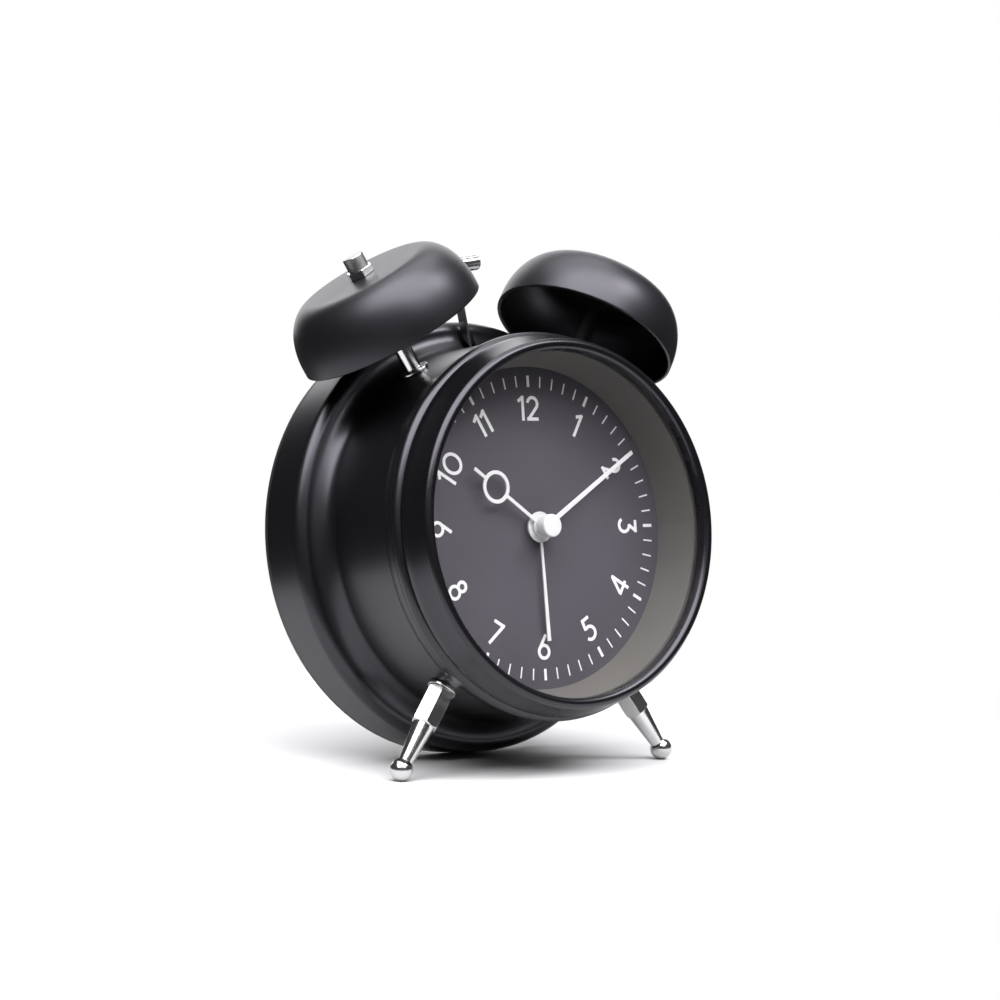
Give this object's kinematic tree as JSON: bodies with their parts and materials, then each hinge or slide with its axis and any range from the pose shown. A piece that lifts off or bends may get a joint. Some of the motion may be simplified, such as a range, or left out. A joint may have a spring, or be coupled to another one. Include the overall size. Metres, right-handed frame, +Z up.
{
  "type": "twin-bell alarm clock",
  "caption": "Round drum alarm clock on turned legs, with domed bells on posts, a swinging hammer between them, a deep dial ring, hands, rear setting knobs and a battery bay.",
  "frame": {"origin": "centre of the bounding box, on the surface the clock stands on", "axes": "+Z up, +X to the right as seen from the front, +Y to the rear; the dial faces -Y and leans back"},
  "size_m": [0.1208, 0.0754, 0.1424],
  "materials": {
    "black_lacquer": "satin black lacquer on pressed steel",
    "bell_black": "satin charcoal black powder coat on pressed steel",
    "bezel_black": "satin black lacquer with a worn-bright front ridge",
    "clear_lens": "flat clear glass",
    "ring_grey": "matt warm grey",
    "dial_grey": "matt dark grey print on card-backed plastic",
    "mark_white": "matt white print",
    "hand_white": "satin white lacquer on stamped aluminium",
    "chrome": "polished chrome plate",
    "steel": "zinc-plated steel",
    "brass": "turned brass",
    "black_plastic": "finely textured black moulding",
    "ivory_plastic": "natural acetal moulding",
    "white_plastic": "natural white moulding",
    "circuit_green": "green solder mask",
    "copper": "enamelled copper wire",
    "battery_wrap": "plain printed sleeve",
    "switch_grey": "matt grey moulding"
  },
  "bodies": {
    "clock": {"case_shell": "black_lacquer", "bezel": "bezel_black", "lens": "clear_lens", "dial_ring": "ring_grey", "dial": "dial_grey", "minute_marks": "mark_white", "dial_carrier": "black_plastic", "stator": "steel", "coil": "copper", "circuit_board": "circuit_green", "movement_case": "white_plastic", "movement_cover": "white_plastic", "movement_screws": "steel", "rear_cover": "black_plastic", "cover_brackets": "steel", "cover_screws": "steel", "battery": "battery_wrap", "battery_contact": "steel", "battery_spring": "steel", "left_bell": "bell_black", "right_bell": "bell_black", "bell_posts": "chrome", "bell_washers": "chrome", "bell_nuts": "chrome", "bell_cap_nuts": "chrome", "post_lock_nuts": "steel", "left_leg": "chrome", "right_leg": "chrome", "leg_washers": "chrome", "leg_lock_nuts": "steel", "ring_bracket": "steel", "bracket_screws": "steel", "ring_motor": "steel", "hammer_pivot": "steel"},
    "minute_works": {"minute_arbor": "steel", "minute_hand": "hand_white", "hand_cap": "hand_white"},
    "hour_works": {"hour_wheel": "ivory_plastic", "hour_hand": "hand_white"},
    "motion_works": {"motion_wheel": "ivory_plastic"},
    "time_setter": {"time_set_shaft": "ivory_plastic", "time_set_knob": "black_plastic"},
    "alarm_works": {"alarm_wheel": "ivory_plastic", "alarm_hand": "hand_white"},
    "alarm_setter": {"alarm_set_shaft": "ivory_plastic", "alarm_set_knob": "black_plastic"},
    "rotor_works": {"rotor": "steel"},
    "step_works": {"step_wheel": "brass"},
    "centre_works": {"centre_wheel": "brass"},
    "crank_works": {"crank_gear": "ivory_plastic"},
    "motor_works": {"motor_pinion": "brass"},
    "hammer": {"hammer_lever": "ivory_plastic", "hammer_arm": "chrome", "hammer_head": "chrome"},
    "switch": {"alarm_switch": "switch_grey"},
    "door": {"battery_door": "black_plastic"}
  },
  "joints": [
    {"name": "minute_turn", "type": "hinge", "parent": "clock", "child": "minute_works", "pos_m": [0, -0.01371, 0.06594], "axis": [0, 0.9884, -0.1521], "continuous": true},
    {"name": "hour_turn", "type": "hinge", "parent": "clock", "child": "hour_works", "pos_m": [0, -0.01371, 0.06594], "axis": [0, 0.9884, -0.1521], "continuous": true},
    {"name": "motion_turn", "type": "hinge", "parent": "clock", "child": "motion_works", "pos_m": [0, -0.01553, 0.05408], "axis": [0, 0.9884, -0.1521], "continuous": true},
    {"name": "time_set_turn", "type": "hinge", "parent": "clock", "child": "time_setter", "pos_m": [-0.01, -0.01371, 0.06594], "axis": [0, 0.9884, -0.1521], "continuous": true},
    {"name": "alarm_turn", "type": "hinge", "parent": "clock", "child": "alarm_works", "pos_m": [0, -0.01371, 0.06594], "axis": [0, 0.9884, -0.1521], "continuous": true},
    {"name": "alarm_set_turn", "type": "hinge", "parent": "clock", "child": "alarm_setter", "pos_m": [0.015, -0.01371, 0.06594], "axis": [0, 0.9884, -0.1521], "continuous": true},
    {"name": "rotor_turn", "type": "hinge", "parent": "clock", "child": "rotor_works", "pos_m": [-0.01485, -0.01145, 0.08062], "axis": [0, 0.9884, -0.1521], "continuous": true},
    {"name": "step_turn", "type": "hinge", "parent": "clock", "child": "step_works", "pos_m": [-0.00778, -0.01253, 0.07363], "axis": [0, 0.9884, -0.1521], "continuous": true},
    {"name": "centre_turn", "type": "hinge", "parent": "clock", "child": "centre_works", "pos_m": [0, -0.01371, 0.06594], "axis": [0, 0.9884, -0.1521], "continuous": true},
    {"name": "crank_turn", "type": "hinge", "parent": "clock", "child": "crank_works", "pos_m": [0, -0.00846, 0.10004], "axis": [0, 0.9884, -0.1521], "continuous": true},
    {"name": "motor_turn", "type": "hinge", "parent": "clock", "child": "motor_works", "pos_m": [-0.0054, -0.00737, 0.10715], "axis": [0, 0.9884, -0.1521], "continuous": true},
    {"name": "hammer_swing", "type": "hinge", "parent": "clock", "child": "hammer", "pos_m": [0, -0.00664, 0.1119], "axis": [0, 0.9884, -0.1521], "range_deg": [-3.3, 21.3]},
    {"name": "door_hinge", "type": "hinge", "parent": "clock", "child": "door", "pos_m": [0, 0.02175, 0.02416], "axis": [-1, 0, 0], "range_deg": [0, 90]},
    {"name": "switch_slide", "type": "slide", "parent": "clock", "child": "switch", "axis": [1, 0, 0], "range_m": [0, 0.005]}
  ],
  "couplings": [
    {"joint": "hour_turn", "follows": "minute_turn", "ratio": 0.083333},
    {"joint": "motion_turn", "follows": "minute_turn", "ratio": -0.33333},
    {"joint": "time_set_turn", "follows": "minute_turn", "ratio": -1},
    {"joint": "alarm_set_turn", "follows": "alarm_turn", "ratio": -2},
    {"joint": "step_turn", "follows": "rotor_turn", "ratio": -0.11111},
    {"joint": "centre_turn", "follows": "rotor_turn", "ratio": 0.011111},
    {"joint": "motor_turn", "follows": "crank_turn", "ratio": -3.5}
  ]
}
